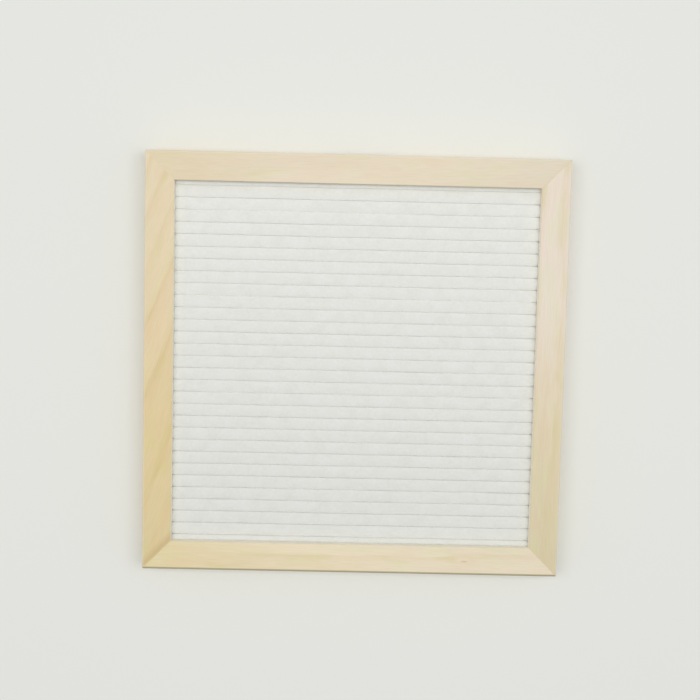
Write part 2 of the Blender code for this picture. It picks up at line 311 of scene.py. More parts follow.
def pin_knot(tree, place, knot):
    """A mask on a small dark knot, and how far it pushes the rings round it aside."""
    from_knot = add(tree, "VectorMath", {0: place, 1: knot}, operation="SUBTRACT").outputs[0]
    turned = (0, math.radians(KNOT_TURN), 0)
    scale = (1 / KNOT_REACH[0], 0, 1 / KNOT_REACH[1])
    laid = add(tree, "Mapping", {"Vector": from_knot, "Rotation": turned, "Scale": scale}).outputs[0]
    reach = add(tree, "VectorMath", {0: laid}, operation="LENGTH").outputs["Value"]
    pushed = add(
        tree,
        "MapRange",
        {"Value": reach, "From Min": 1.0, "From Max": 0.0, "To Max": KNOT_PUSH},
        interpolation_type="SMOOTHSTEP",
    ).outputs[0]
    core = add(
        tree, "MapRange", {"Value": reach, "From Min": KNOT_CORE, "From Max": KNOT_CORE / 2}
    ).outputs[0]
    return core, pushed


print("the knot is", round(2 * KNOT_REACH[0] * KNOT_CORE / MM, 1), "mm long")

# %% Tones, marks, wear, painted highlight and painted shade
WARM_AND_COOL = [(0.35, "#FFFBF9"), (0.5, "#FFFFFF"), (0.65, "#FCFFF7")]
# The pale colour of the painted highlight on the lip's edge, and of the wear and highlight on the arris.
WORN_AND_LIT_COLOUR = "#FBF3E0"
# The colour of the painted shade on the lowest arris.
FOOT_SHADE_COLOUR = "#ABA07F"


def tone_along(tree, place, side, tones):
    """The early wood's tone, which changes along a rail: from left to right, or from top to bottom."""
    level = side in ("top", "bottom")
    along = add(tree, "SeparateXYZ", {0: place}).outputs["X" if level else "Z"]
    first, last = (-FRAME_SIDE / 2, FRAME_SIDE / 2) if level else (frame_high.z, frame_low.z)
    share = add(tree, "MapRange", {"Value": along, "From Min": first, "From Max": last}).outputs[0]
    stops = [(i / (len(tones) - 1), tone) for i, tone in enumerate(tones)]
    return add(tree, "ValToRGB", {0: share}, stops=stops).outputs[0]


def toned_wood(tree, place, side, tones, late_tone, lateness, patches):
    """Late wood over early wood, in patches that are a little warmer or cooler."""
    early = tone_along(tree, place, side, tones)
    late_colour = {0: lateness, MIX_A: early, MIX_B: linear(late_tone)}
    wood = add(tree, "Mix", late_colour, data_type="RGBA").outputs[MIX_OUT]
    hue = add(tree, "ValToRGB", {0: patches}, stops=WARM_AND_COOL).outputs[0]
    warmed = {0: 1.0, MIX_A: wood, MIX_B: hue}
    return add(tree, "Mix", warmed, data_type="RGBA", blend_type="MULTIPLY").outputs[MIX_OUT]


def marked_wood(tree, wood, marks):
    """Lays the colour of each mark over the wood where its mask is, as deep as it went in."""
    for mask, depth, colour in marks:
        dark = add(tree, "Math", {0: mask, 1: depth}, operation="MULTIPLY").outputs[0]
        marked = {0: dark, MIX_A: wood, MIX_B: linear(colour)}
        wood = add(tree, "Mix", marked, data_type="RGBA").outputs[MIX_OUT]
    return wood


def edge_wear_light_and_shade(tree, place, wood, painted_lip_light):
    """Paints a highlight on the lip's edge, wear and a highlight on the outer arris, shade on the lowest
    arris.
    """
    lip, arris, foot_shade = edge_marks(tree, place)
    lip_share = add(tree, "Math", {0: lip, 1: painted_lip_light}, operation="MULTIPLY").outputs[0]
    paler = add(
        tree, "Math", {0: arris, 1: ARRIS_WEAR_AND_HIGHLIGHT, 2: lip_share}, operation="MULTIPLY_ADD"
    ).outputs[0]
    worn_and_lit = {0: paler, MIX_A: wood, MIX_B: linear(WORN_AND_LIT_COLOUR)}
    pale_edges = add(tree, "Mix", worn_and_lit, data_type="RGBA").outputs[MIX_OUT]
    foot_shaded = {0: foot_shade, MIX_A: pale_edges, MIX_B: linear(FOOT_SHADE_COLOUR)}
    return add(tree, "Mix", foot_shaded, data_type="RGBA").outputs[MIX_OUT]


print("a warm or cool patch is", round(HUE_LENGTH / MM), "mm long and", round(HUE_WIDTH / MM), "mm wide")

# %% [markdown]
# ## The finish of a rail
# A bare plank under one flat colour looks like foil, however good its bump. So the tones are laid in
# this order: early and late wood, the marks that went in, the light and dark of single fibres, and last
# the edges, with sanding wear and a painted highlight on the arrises, a painted highlight on the lip
# and painted shade on the lowest arris. Sandpaper takes more of the soft early wood than of the hard
# late wood, so the same late wood also stands a little proud in the bump. No varnish evens the gloss,
# which changes from fibre to fibre.

# %% Sanded pine
FIBRE_LENGTH = 14 * MM
FIBRE_WIDTH = 0.45 * MM
FIBRE_SHADE = {"To Min": 0.955, "To Max": 1.03}
DRIFT_SHADE = {"To Min": 0.985, "To Max": 1.015}
LATE_RELIEF = 0.6


def sanded_pine(
    side, turn, slant, lean, ring, pith,
    tones, late_tone, late_share, painted_lip_light=1.0, stain=None, knot=None,
):
    """Pine for one rail. turn lays X along it, slant and lean turn the pith in its face and into it."""
    made, tree, shader = finish_named(f"sanded_pine_{side}", IOR=1.5)
    place = tree.nodes.new("ShaderNodeTexCoord").outputs["Object"]
    grain = in_the_tree(tree, place, side, turn, slant, lean, pith)
    drift = streaks(tree, grain, DRIFT_LENGTH, DRIFT_WIDTH, detail=3.0)
    patches = streaks(tree, grain, HUE_LENGTH, HUE_WIDTH)
    fibre = streaks(tree, grain, FIBRE_LENGTH, FIBRE_WIDTH, detail=4.0)
    core, pushed = pin_knot(tree, place, knot) if knot else (None, None)
    lateness = late_wood(tree, grain, drift, patches, ring, late_share, pushed)
    marks = []
    if knot:
        marks.append((core, KNOT_DEPTH, KNOT_COLOUR))
    if stain:
        marks.append((mitre_stain(tree, place), STAIN_DEPTH, stain))

    wood = toned_wood(tree, place, side, tones, late_tone, lateness, patches)
    wood = marked_wood(tree, wood, marks)
    streak = add(tree, "MapRange", {"Value": fibre, **MIDDLE, **FIBRE_SHADE}).outputs[0]
    mottle = add(tree, "MapRange", {"Value": drift, **MIDDLE, **DRIFT_SHADE}).outputs[0]
    depth_of_tone = add(tree, "Math", {0: streak, 1: mottle}, operation="MULTIPLY").outputs[0]
    shaded = add(tree, "VectorMath", {0: wood, "Scale": depth_of_tone}, operation="SCALE").outputs[0]
    # Painted highlight on the lip and the arris, and painted shade on the lowest arris.
    paint_shaded = edge_wear_light_and_shade(tree, place, shaded, painted_lip_light)
    tree.links.new(paint_shaded, shader.inputs["Base Color"])
    gloss = add(tree, "MapRange", {"Value": fibre, "To Min": 0.5, "To Max": 0.66}).outputs[0]
    tree.links.new(gloss, shader.inputs["Roughness"])
    relief = add(tree, "Math", {0: lateness, 1: LATE_RELIEF, 2: fibre}, operation="MULTIPLY_ADD").outputs[0]
    bump = add(tree, "Bump", {"Strength": 0.35, "Distance": 0.08 * MM, "Height": relief}).outputs[0]
    tree.links.new(bump, shader.inputs["Normal"])
    return made


print("a fibre is", round(FIBRE_LENGTH / MM), "mm long and", round(FIBRE_WIDTH / MM, 2), "mm wide")

# %% [markdown]
# ## Four rails from four battens
# A framer takes four lengths from whatever batten comes next, so the rails of a real frame don't
# match. One material for all would show the same figure four times. So every rail gets its own cut:
# how far the pith lies from the face, how wide the rings are, how the grain slants, and how the tone
# changes from one end to the other. The left rail comes from near the edge of a board and its grain
# leans by 19 degrees, while the right one is nearly straight and turns from rosy to yellow.

# %% Dress the rails
PINE_CUTS = {
    "top": dict(
        turn=0,
        slant=1.2,
        lean=1.5,
        ring=6.5 * MM,
        pith=(38 * MM, -6 * MM),
        tones=["#DFD0AE", "#E5D8C1", "#E5D8BF", "#E0D5C0"],
        late_tone="#DDC9A2",
        late_share=0.45,
        # No painted highlight inside the top lip.
        painted_lip_light=0.0,
    ),
    "bottom": dict(
        turn=0,
        slant=-1.5,
        lean=-1.0,
        ring=4.8 * MM,
        pith=(24 * MM, 4 * MM),
        tones=["#E2D3A5", "#E9DBBD", "#E7DBC0", "#E7DBC2"],
        late_tone="#DCC79A",
        late_share=0.5,
        knot=(70 * MM, frame_low.y, 8.4 * MM),
    ),
    "left": dict(
        turn=90,
        slant=-19,
        lean=2,
        ring=9.5 * MM,
        pith=(30 * MM, 10 * MM),
        tones=["#E4D5B5", "#E3D1AC", "#E0CB9B", "#D9C99B"],
        late_tone="#D6BC88",
        late_share=0.55,
        stain="#CAB17E",
    ),
    "right": dict(
        turn=90,
        slant=-0.8,
        lean=1,
        ring=13.9 * MM,
        pith=(22 * MM, 19 * MM),
        tones=["#E9DDCC", "#E8DCCC", "#DDD0B0", "#D6CBA8"],
        late_tone="#D8C193",
        late_share=0.6,
    ),
}
for side, cut in PINE_CUTS.items():
    wear(f"rail_{side}", sanded_pine(side, **cut))
    print(f"rail_{side}: rings in mm:", round(cut["ring"] / MM, 1), "grain leans by degrees:", cut["slant"])

# %% [markdown]
# ## Glue in the mitres
# Two rails meet at each corner with a glue line a fifth of a millimetre thick. Left empty it would
# show as a black hair from the front, and the real joint shows nothing of the kind: the dried glue is
# as pale as the wood. A drawn line would stop at the surface, so each film is made as a solid. It
# starts as the end face of a level rail, copied and shrunk a little so that it stays below the
# surface, and is drawn out across the gap.

# %% Glue lines
GLUE_GAP = 0.2 * MM
GLUE_PLAY = 0.01 * MM
GLUE_SHRINK = 0.04 * MM
GLUE_CLOUD = 3 * MM
SAME_WAY = 0.999


def object_of(bm, name):
    """Turns a bmesh into an object of the scene that has its place in its mesh."""
    mesh = bpy.data.meshes.new(name)
    bm.to_mesh(mesh)
    bm.free()
    made = bpy.data.objects.new(name, mesh)
    bpy.context.scene.collection.objects.link(made)
    return made


def dried_glue():
    """Wood glue, dried to a pale, slightly cloudy and rather smooth film."""
    made, tree, shader = finish_named("dried_wood_glue", IOR=1.48, Roughness=0.4)
    place = tree.nodes.new("ShaderNodeTexCoord").outputs["Object"]
    cloud = add(tree, "TexNoise", {"Vector": place, "Scale": 1 / GLUE_CLOUD, "Detail": 2.0}).outputs[0]
    tone = add(tree, "ValToRGB", {0: cloud}, stops=[(0.3, "#DDCDA6"), (0.7, "#E7D9B8")]).outputs[0]
    tree.links.new(tone, shader.inputs["Base Color"])
    return made


def glue_line(name, rail, side, finish):
    """Fills one mitre from the end face of a level rail; side is -1 for its left end, 1 for its right."""
    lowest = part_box(rail)[0].z
    inwards = 1 if lowest < CENTRE.z - RAIL_FACE else -1
    facing = Vector((side, 0, inwards)).normalized()
    bm = bmesh.new()
    bm.from_mesh(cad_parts[rail].data)
    bmesh.ops.remove_doubles(bm, verts=bm.verts, dist=GLUE_PLAY / 10)
    others = [face for face in bm.faces if face.normal.dot(facing) < SAME_WAY]
    bmesh.ops.delete(bm, geom=others, context="FACES")
    bmesh.ops.dissolve_faces(bm, faces=bm.faces[:])
    bmesh.ops.recalc_face_normals(bm, faces=bm.faces)
    rim = bmesh.ops.inset_region(bm, faces=bm.faces[:], thickness=GLUE_SHRINK, use_boundary=True)["faces"]
    bmesh.ops.delete(bm, geom=rim, context="FACES")
    bmesh.ops.translate(bm, vec=facing * GLUE_PLAY, verts=bm.verts)
    grown = bmesh.ops.extrude_face_region(bm, geom=bm.faces[:])["geom"]
    moved = [part for part in grown if isinstance(part, bmesh.types.BMVert)]
    bmesh.ops.translate(bm, vec=facing * (GLUE_GAP - 2 * GLUE_PLAY), verts=moved)
    bmesh.ops.recalc_face_normals(bm, faces=bm.faces)
    film = object_of(bm, name)
    film.data.materials.append(finish)
    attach(film, "root")
    return film


glue = dried_glue()
for level in ("top", "bottom"):
    for hand, side in (("left", -1), ("right", 1)):
        film = glue_line(f"glue_line_{level}_{hand}", f"rail_{level}", side, glue)
        print(film.name, "faces:", len(film.data.polygons), "points:", len(film.data.vertices))

# %% [markdown]
# ## The pleated felt
# On the real board one sheet of felt, about 433 mm long before it was folded, is pressed into 30 slots
# with a blade. A flat wall with painted lines would lose the shadow in each slot, which is what the eye
# reads as ribs, and a simulated cloth would need the board and the blade as well. The board decides
# where every fold lies, so the sheet is drawn once from the side instead, as a line that rolls into
# each slot and out again. That line is then extruded across the board in short steps, and Solidify
# gives the felt its thickness.

# %% The sheet seen from the side
FELT_THICKNESS = 0.5 * MM
SLOT_PITCH = 7.35 * MM
FIRST_SLOT_DROP = 2.5 * MM
SLOT_REACH = 3.7 * MM
SLOT_GAP = 0.1 * MM
FOLD_RADIUS = 0.85 * MM
RIB_CROWN = 0.35 * MM
FOLD_STEPS = 4
TURN_STEPS = 3
CROWN_STEPS = 4
COLUMNS = 76
SLOTS = 30

FELT_Y = felt_low.y + RIB_CROWN
FELT_WIDTH = felt_high.x - felt_low.x
FIRST_SLOT_Z = frame_high.z - RAIL_FACE - FIRST_SLOT_DROP


def arc(centre, radius, start, end, steps):
    """Points (y, z) of an arc from one angle in degrees to another."""
    angles = [math.radians(start + (end - start) * i / steps) for i in range(steps + 1)]
    return [(centre[0] + radius * math.cos(a), centre[1] + radius * math.sin(a)) for a in angles]


def sheet_line():
    """The felt's front face as (y, z) from top to bottom: crowned ribs, rolled into each slot and out."""
    half_mouth = SLOT_GAP / 2 + FOLD_RADIUS
    roll_y = FELT_Y + FOLD_RADIUS
    turn_y = FELT_Y + SLOT_REACH - SLOT_GAP / 2
    line = [(FELT_Y, felt_high.z)]
    for slot in range(SLOTS):
        z = FIRST_SLOT_Z - slot * SLOT_PITCH
        if slot:
            rib_top, rib_bottom = z + SLOT_PITCH - half_mouth, z + half_mouth
            for i in range(1, CROWN_STEPS):
                share = i / CROWN_STEPS
                crown = RIB_CROWN * 4 * share * (1 - share)
                line.append((FELT_Y - crown, rib_top + (rib_bottom - rib_top) * share))
        line += arc((roll_y, z + half_mouth), FOLD_RADIUS, 180, 270, FOLD_STEPS)
        line += arc((turn_y, z), SLOT_GAP / 2, 90, -90, TURN_STEPS)
        line += arc((roll_y, z - half_mouth), FOLD_RADIUS, 90, 180, FOLD_STEPS)
    return line + [(FELT_Y, felt_low.z)]


side_line = sheet_line()
FLAT_LENGTH = sum(math.dist(a, b) for a, b in zip(side_line, side_line[1:]))
print("points in the line:", len(side_line), "its length in mm:", round(FLAT_LENGTH / MM, 1))

# %% [markdown]
# ## Creases by hand
# Nothing about the real sheet is quite even. A slot's line wanders by a tenth of a millimetre, closes
# where the felt is thick and opens where it is thin, wider low down on the board and where it tears out
# at the slot's ends. The first slot lies close under the lip and is nearly shut. The strip of felt above
# it leans back, and the strip below the last slot is pressed forward. A lattice or a proportional edit
# could do this, but not for 30 slots and always alike. Here every point is moved by a smooth noise of
# its own place. The move is full at a slot and dies out halfway to the next, so the ribs keep their
# places, and only the front of the sheet leans and puckers.

# %% Creases by hand
LINE_WANDER = 0.16 * MM
WANDER_LENGTH = 34 * MM
WANDER_ROW = 3.1
GAP_CLOSED = 0.02 * MM
GAP_OPEN = 0.08 * MM
GAP_OPEN_LOW = 0.3 * MM
GAP_LENGTH = 22 * MM
GAP_ROW, GAP_PLANE = 2.7, 4.0
OPEN_MEAN, OPEN_SPREAD = 0.5, 0.9
END_GAP = 0.34 * MM
END_LENGTH = 2.4 * MM
TIGHT_FIRST = 0.15
TOP_SINK = 0.25 * MM
FOOT_PRESS = 0.3 * MM
STRIP_EASE = 1.5 * MM
PUCKER = 0.07 * MM
PUCKER_LENGTH = 11 * MM
PUCKER_PLANE = 9.0


def clamped(share):
    """A share kept between 0 and 1."""
    return min(1, max(0, share))


def slot_gap(slot, x):
    """How far the slot stands open at x: mostly nearly shut, here and there wide, wider low down."""
    place = Vector((x / GAP_LENGTH, slot * GAP_ROW, GAP_PLANE))
    openness = clamped(OPEN_MEAN + OPEN_SPREAD * noise.noise(place))
    widest = GAP_OPEN + (GAP_OPEN_LOW - GAP_OPEN) * slot / SLOTS
    near_end = clamped((abs(x) - SIGHT_HALF) / END_LENGTH + 1)
    torn = END_GAP * near_end**2 * (1 if x > 0 else (slot / SLOTS) ** 2)
    return GAP_CLOSED + (widest - GAP_CLOSED) * openness**2 + torn


def creased(x, y, z):
    """Where a point of the even sheet lies on the one that was pressed in by hand."""
    slot = min(SLOTS - 1, max(0, round((FIRST_SLOT_Z - z) / SLOT_PITCH)))
    slot_z = FIRST_SLOT_Z - slot * SLOT_PITCH
    off = z - slot_z
    hold = 0.5 + 0.5 * math.cos(math.pi * min(1, abs(off) / (SLOT_PITCH / 2)))
    wander = LINE_WANDER * noise.noise(Vector((x / WANDER_LENGTH, slot * WANDER_ROW, 0.0)))
    widen = (slot_gap(slot, x) - SLOT_GAP) / 2
    if abs(off) <= SLOT_GAP / 2:
        off += widen * off / (SLOT_GAP / 2)
    else:
        off += math.copysign(widen * hold, off)
    if slot == 0:
        off *= 1 - (1 - TIGHT_FIRST) * hold
    lean = 0.0
    if slot == 0 and off > 0:
        lean = TOP_SINK * min(1, off / STRIP_EASE)
    if slot == SLOTS - 1 and off < 0:
        lean = -FOOT_PRESS * min(1, -off / STRIP_EASE)
    pucker = PUCKER * noise.noise(Vector((x / PUCKER_LENGTH, PUCKER_PLANE, z / PUCKER_LENGTH)))
    front = 1 - clamped((y - FELT_Y) / FOLD_RADIUS)
    return Vector((x, y + (pucker + lean) * front, slot_z + off + wander * hold))


print("a slot opens in mm from", round(GAP_CLOSED / MM, 2), "to", round(GAP_OPEN_LOW / MM, 2))

# %% The sheet
def pleated_felt():
    """Extrudes the line across the board, writes the flat sheet's own UV map and creases the sheet."""
    bm = bmesh.new()
    flat = bm.loops.layers.uv.new("flat_sheet")
    reach = bm.verts.layers.float.new("reach")
    pressed = bm.verts.layers.float.new("pressed_in")
    row = [bm.verts.new((felt_low.x, y, z)) for y, z in side_line]
    done = 0.0
    for vert, (here, there) in zip(row[1:], zip(side_line, side_line[1:])):
        done += math.dist(here, there)
        vert[reach] = done / FLAT_LENGTH
    edges = [bm.edges.new(pair) for pair in zip(row, row[1:])]
    for _ in range(COLUMNS):
        grown = bmesh.ops.extrude_edge_only(bm, edges=edges)["geom"]
        moved = {part for part in grown if isinstance(part, bmesh.types.BMVert)}
        bmesh.ops.translate(bm, vec=(FELT_WIDTH / COLUMNS, 0, 0), verts=list(moved))
        new_edges = [part for part in grown if isinstance(part, bmesh.types.BMEdge)]
        edges = [edge for edge in new_edges if moved.issuperset(edge.verts)]
    for face in bm.faces:
        for loop in face.loops:
            across = (loop.vert.co.x - felt_low.x) / FELT_WIDTH
            loop[flat].uv = (across, 1 - loop.vert[reach])
    for vert in bm.verts:
        vert[pressed] = clamped((vert.co.y - FELT_Y) / FOLD_RADIUS)
        vert.co = creased(*vert.co)
    bmesh.ops.recalc_face_normals(bm, faces=bm.faces)
    top_rib = min(bm.faces, key=lambda face: face.calc_center_median().y - face.calc_center_median().z)
    if top_rib.normal.y > 0:
        bmesh.ops.reverse_faces(bm, faces=bm.faces)
    sheet = object_of(bm, "pleated_felt")
    sheet.data.shade_smooth()
    thickness = sheet.modifiers.new("felt_thickness", "SOLIDIFY")
    thickness.thickness = FELT_THICKNESS
    thickness.offset = -1
    thickness.use_even_offset = True
    return sheet


felt = pleated_felt()
print("felt faces before thickness:", len(felt.data.polygons))

# %% [markdown]
# ## White felt
# Felt is loose fibres matted together by needles. It has no weave, so the eye sees three things: soft
# patches where the mat is thicker, a tangle of single hairs, and a halo of fuzz that lightens every
# edge turned away. The patches and hairs are noises laid on the flat sheet's own map, so that they
# follow the felt round each rib, and the fuzz is the shader's sheen. Light also soaks through felt, so
# that a slot is a soft grey line and never as dark as a crack in stone. Tracing light through the mat
# would be slow and grainy, so that light is painted instead: the felt inside the slots is painted paler,
# more so near the top. Low down the felt is a little greyer, and the narrow strip under the top lip is
# darkened with a painted shadow of the lip.

# %% White felt
FLAT_SIZE = (0.230, 0.433)
PATCH = 9 * MM
CLUMP = 2.2 * MM
HAIR = 0.5 * MM
CLUMP_SHADE = {"To Min": 0.975, "To Max": 1.015}
HAIR_SHADE = {"To Min": 0.96, "To Max": 1.02}
# The felt is a little darker toward the bottom.
LOW_GREYING = {"To Min": 0.935, "To Max": 1.01}
FELT_TONES = [(0.3, "#E6E7E1"), (0.5, "#E9EAE4"), (0.7, "#EBECE7")]
# Painted light in the slots: the felt there is mixed toward this colour, fully at the top and less toward
# the bottom.
SLOT_LIGHT_COLOUR = "#FDFDF8"
SLOT_LIGHT_LOW = 0.6
# Painted shadow of the top lip on the felt strip under it.
UNDER_LIP = 9 * MM
LIP_SHADE = 0.945
LIP_EDGE = 0.003


def white_felt():
    """White needle felt on the sheet's own flat map."""
    made, tree, shader = finish_named(
        "white_needle_felt", Roughness=0.95, Sheen_Weight=0.9, Sheen_Roughness=0.5, IOR=1.45
    )
    shader.inputs["Specular IOR Level"].default_value = 0.2
    flat = add(tree, "UVMap", uv_map="flat_sheet").outputs[0]
    metres = add(tree, "Mapping", {"Vector": flat, "Scale": (*FLAT_SIZE, 1)}).outputs[0]
    patches = add(tree, "TexNoise", {"Vector": metres, "Scale": 1 / PATCH, "Detail": 2.0}).outputs[0]
    clumps = add(tree, "TexNoise", {"Vector": metres, "Scale": 1 / CLUMP, "Detail": 3.0}).outputs[0]
    hairs = add(
        tree, "TexNoise", {"Vector": metres, "Scale": 1 / HAIR, "Detail": 5.0, "Distortion": 1.6}
    ).outputs[0]
    tone = add(tree, "ValToRGB", {0: patches}, stops=FELT_TONES).outputs[0]
    height = add(tree, "SeparateXYZ", {0: flat}).outputs["Y"]
    slot_light_by_height = add(tree, "MapRange", {"Value": height, "To Min": SLOT_LIGHT_LOW, "To Max": 1.0}).outputs[0]
    # Painted light: the deeper the felt lies in a slot, the paler it is painted.
    pressed = add(tree, "Attribute", attribute_name="pressed_in").outputs["Fac"]
    slot_light = add(tree, "Math", {0: pressed, 1: slot_light_by_height}, operation="MULTIPLY").outputs[0]
    paler = {0: slot_light, MIX_A: tone, MIX_B: linear(SLOT_LIGHT_COLOUR)}
    slot_lit = add(tree, "Mix", paler, data_type="RGBA").outputs[MIX_OUT]
    shade = add(tree, "MapRange", {"Value": clumps, **MIDDLE, **CLUMP_SHADE}).outputs[0]
    thin = add(tree, "MapRange", {"Value": hairs, **MIDDLE, **HAIR_SHADE}).outputs[0]
    # Darker toward the bottom of the sheet.
    greyer_low = add(tree, "MapRange", {"Value": height, **LOW_GREYING}).outputs[0]
    under = 1 - UNDER_LIP / FLAT_SIZE[1]
    edge = {"From Min": under, "From Max": under + LIP_EDGE}
    # Painted shadow of the top lip: the strip under it is darker.
    lip_shadow_on_felt = add(
        tree, "MapRange", {"Value": height, **edge, "To Min": 1.0, "To Max": LIP_SHADE}
    ).outputs[0]
    soft = add(tree, "Math", {0: shade, 1: thin}, operation="MULTIPLY").outputs[0]
    strip = add(tree, "Math", {0: soft, 1: lip_shadow_on_felt}, operation="MULTIPLY").outputs[0]
    whole = add(tree, "Math", {0: strip, 1: greyer_low}, operation="MULTIPLY").outputs[0]
    colour = add(tree, "VectorMath", {0: slot_lit, "Scale": whole}, operation="SCALE").outputs[0]
    tree.links.new(colour, shader.inputs["Base Color"])
    mat = add(tree, "Math", {0: clumps, 1: 2.0, 2: hairs}, operation="MULTIPLY_ADD").outputs[0]
    bump = add(tree, "Bump", {"Strength": 0.5, "Distance": 0.12 * MM, "Height": mat}).outputs[0]
    tree.links.new(bump, shader.inputs["Normal"])
    return made


felt.data.materials.append(white_felt())
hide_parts("felt_facing")
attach(felt, "root")
print("felt cut to", FLAT_SIZE, "metres before it was folded")

# %% [markdown]
# ## The slotted board
# Behind the felt is an extruded board of grey-white plastic. It can hardly be seen, but a stranger
# may take the back off, so it gets more than a plain grey. Extrusion pushes the warm plastic through a
# die, which leaves faint level lines along it and a matt skin. Streaks give the lines, a fine noise
# gives the skin its changing gloss, and a bump that takes in both lets them catch the light.

# %% Matt extruded plastic
DIE_RUN = 120 * MM
DIE_LINE = 0.6 * MM
SKIN_GRAIN = 0.4 * MM


def extruded_plastic():
    """Grey-white plastic with the lines of its die."""
    made, tree, shader = finish_named("matt_extruded_plastic", IOR=1.49)
    place = tree.nodes.new("ShaderNodeTexCoord").outputs["Object"]
    lines = streaks(tree, place, DIE_RUN, DIE_LINE)
    skin = add(tree, "TexNoise", {"Vector": place, "Scale": 1 / SKIN_GRAIN, "Detail": 3.0}).outputs[0]
    tone = add(tree, "ValToRGB", {0: lines}, stops=[(0.3, "#C0C0BC"), (0.7, "#C9C9C5")]).outputs[0]
    tree.links.new(tone, shader.inputs["Base Color"])
    rough = add(tree, "MapRange", {"Value": skin, "To Min": 0.5, "To Max": 0.68}).outputs[0]
    tree.links.new(rough, shader.inputs["Roughness"])
    height = add(tree, "Math", {0: lines, 1: 0.5, 2: skin}, operation="MULTIPLY_ADD").outputs[0]
    bump = add(tree, "Bump", {"Strength": 0.2, "Distance": 0.03 * MM, "Height": height}).outputs[0]
    tree.links.new(bump, shader.inputs["Normal"])
    return made


wear("slotted_board", extruded_plastic())
print("die lines in mm:", round(DIE_LINE / MM, 1))

# %% [markdown]
# ## Hardboard
# The back panel is hardboard: wood fibres steamed apart and pressed hot into a thin sheet. Up close it
# is a brown felt of short fibres lying every way, some pale and some nearly black, under a skin that
# the hot plate left almost smooth. One stretched noise would look like grain, so three are laid at
# different angles and added up, and a slower noise gives the cloudy patches of pressing.

# %% Pressed hardboard
CHIP_LENGTH = 3.2 * MM
CHIP_WIDTH = 0.45 * MM
CHIP_TURNS = (20, 75, 130)
CHIP_SPAN = {"From Min": 1.15, "From Max": 1.85}
CLOUD = 22 * MM
CLOUD_SHADE = {"To Min": 0.9, "To Max": 1.08}
FIBRE_TONES = [(0.0, "#5E4228"), (0.35, "#84623F"), (0.65, "#97754F"), (1.0, "#B79A72")]


def pressed_hardboard():
    """Brown hardboard of short fibres that lie every way."""
    made, tree, shader = finish_named("pressed_hardboard", IOR=1.5)
    place = tree.nodes.new("ShaderNodeTexCoord").outputs["Object"]
    chips = None
    for turn in CHIP_TURNS:
        laid = add(tree, "Mapping", {"Vector": place, "Rotation": (0, math.radians(turn), 0)}).outputs[0]
        layer = streaks(tree, laid, CHIP_LENGTH, CHIP_WIDTH)
        if chips:
            layer = add(tree, "Math", {0: chips, 1: layer}, operation="ADD").outputs[0]
        chips = layer
    share = add(tree, "MapRange", {"Value": chips, **CHIP_SPAN}).outputs[0]
    tone = add(tree, "ValToRGB", {0: share}, stops=FIBRE_TONES).outputs[0]
    clouds = add(tree, "TexNoise", {"Vector": place, "Scale": 1 / CLOUD, "Detail": 2.0}).outputs[0]
    pressing = add(tree, "MapRange", {"Value": clouds, **MIDDLE, **CLOUD_SHADE}).outputs[0]
    shaded = add(tree, "VectorMath", {0: tone, "Scale": pressing}, operation="SCALE").outputs[0]
    tree.links.new(shaded, shader.inputs["Base Color"])
    rough = add(tree, "MapRange", {"Value": share, "To Min": 0.62, "To Max": 0.8}).outputs[0]
    tree.links.new(rough, shader.inputs["Roughness"])
    bump = add(tree, "Bump", {"Strength": 0.3, "Distance": 0.05 * MM, "Height": share}).outputs[0]
    tree.links.new(bump, shader.inputs["Normal"])
    return made


wear("back_panel", pressed_hardboard())
print("layers of fibres:", len(CHIP_TURNS), "a fibre's length in mm:", round(CHIP_LENGTH / MM, 1))

# %% [markdown]
# ## Zinc-plated steel
# Points, nails and the hanger are cut from rolled strip and dipped in a bright zinc bath. Rolling
# leaves fine lines along the strip, and the bath leaves a cloudy bloom that is cooler in one place and
# warmer in the next. Under soft light that changing gloss tells plated steel from grey paint, so both
# the lines and the bloom go into the roughness, while the colour changes with the bloom alone.

# %% Zinc plate
ROLL_RUN = 9 * MM
ROLL_LINE = 0.12 * MM
BLOOM = 3.5 * MM
BLOOM_TONES = [(0.3, "#B9BEC2"), (0.5, "#C8CACA"), (0.7, "#D2CFC4")]
GLOSS_SPAN = {"From Min": 0.7, "From Max": 1.3, "To Min": 0.26, "To Max": 0.48}
STEEL_PIECES = ("framing_point", "v_nail", "hanger_nail", "sawtooth")


def zinc_plate():
    """Bright zinc on rolled steel strip."""
    made, tree, shader = finish_named("bright_zinc_plate", Metallic=1.0)
    place = tree.nodes.new("ShaderNodeTexCoord").outputs["Object"]
    lines = streaks(tree, place, ROLL_RUN, ROLL_LINE, detail=3.0)
    bloom = add(tree, "TexNoise", {"Vector": place, "Scale": 1 / BLOOM, "Detail": 3.0}).outputs[0]
    tone = add(tree, "ValToRGB", {0: bloom}, stops=BLOOM_TONES).outputs[0]
    tree.links.new(tone, shader.inputs["Base Color"])
    both = add(tree, "Math", {0: lines, 1: bloom}, operation="ADD").outputs[0]
    rough = add(tree, "MapRange", {"Value": both, **GLOSS_SPAN}).outputs[0]
    tree.links.new(rough, shader.inputs["Roughness"])
    bump = add(tree, "Bump", {"Strength": 0.15, "Distance": 0.02 * MM, "Height": lines}).outputs[0]
    tree.links.new(bump, shader.inputs["Normal"])
    return made


zinc = zinc_plate()
steel_nodes = [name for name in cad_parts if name.startswith(STEEL_PIECES)]
for name in steel_nodes:
    wear(name, zinc)
print("plated pieces:", len(steel_nodes))

# %% [markdown]
# ## Wall and floor
# The board hangs flat on a pale painted wall, and its soft shadow on that wall is half of what makes
# it look real. From behind, though, a wall would hide the board's back. So the wall is painted on one
# side only: its back lets the eye and the light through, while its front catches the shadow and throws
# a little light back on the frame's edges. The narrow gap behind a real board is dark. Here light
# comes through the wall to show the board's back, so the eye is given dark paint there instead. The
# floor lies far below, out of the picture.

# %% Wall and floor
WALL_GAP = 0.4 * MM
STAGE_SIZE = 3.2
FLOOR_DROP = 0.9
PLASTER = 5 * MM
GAP_EDGE = 5 * MM
GAP_PAINT = "#2A2824"


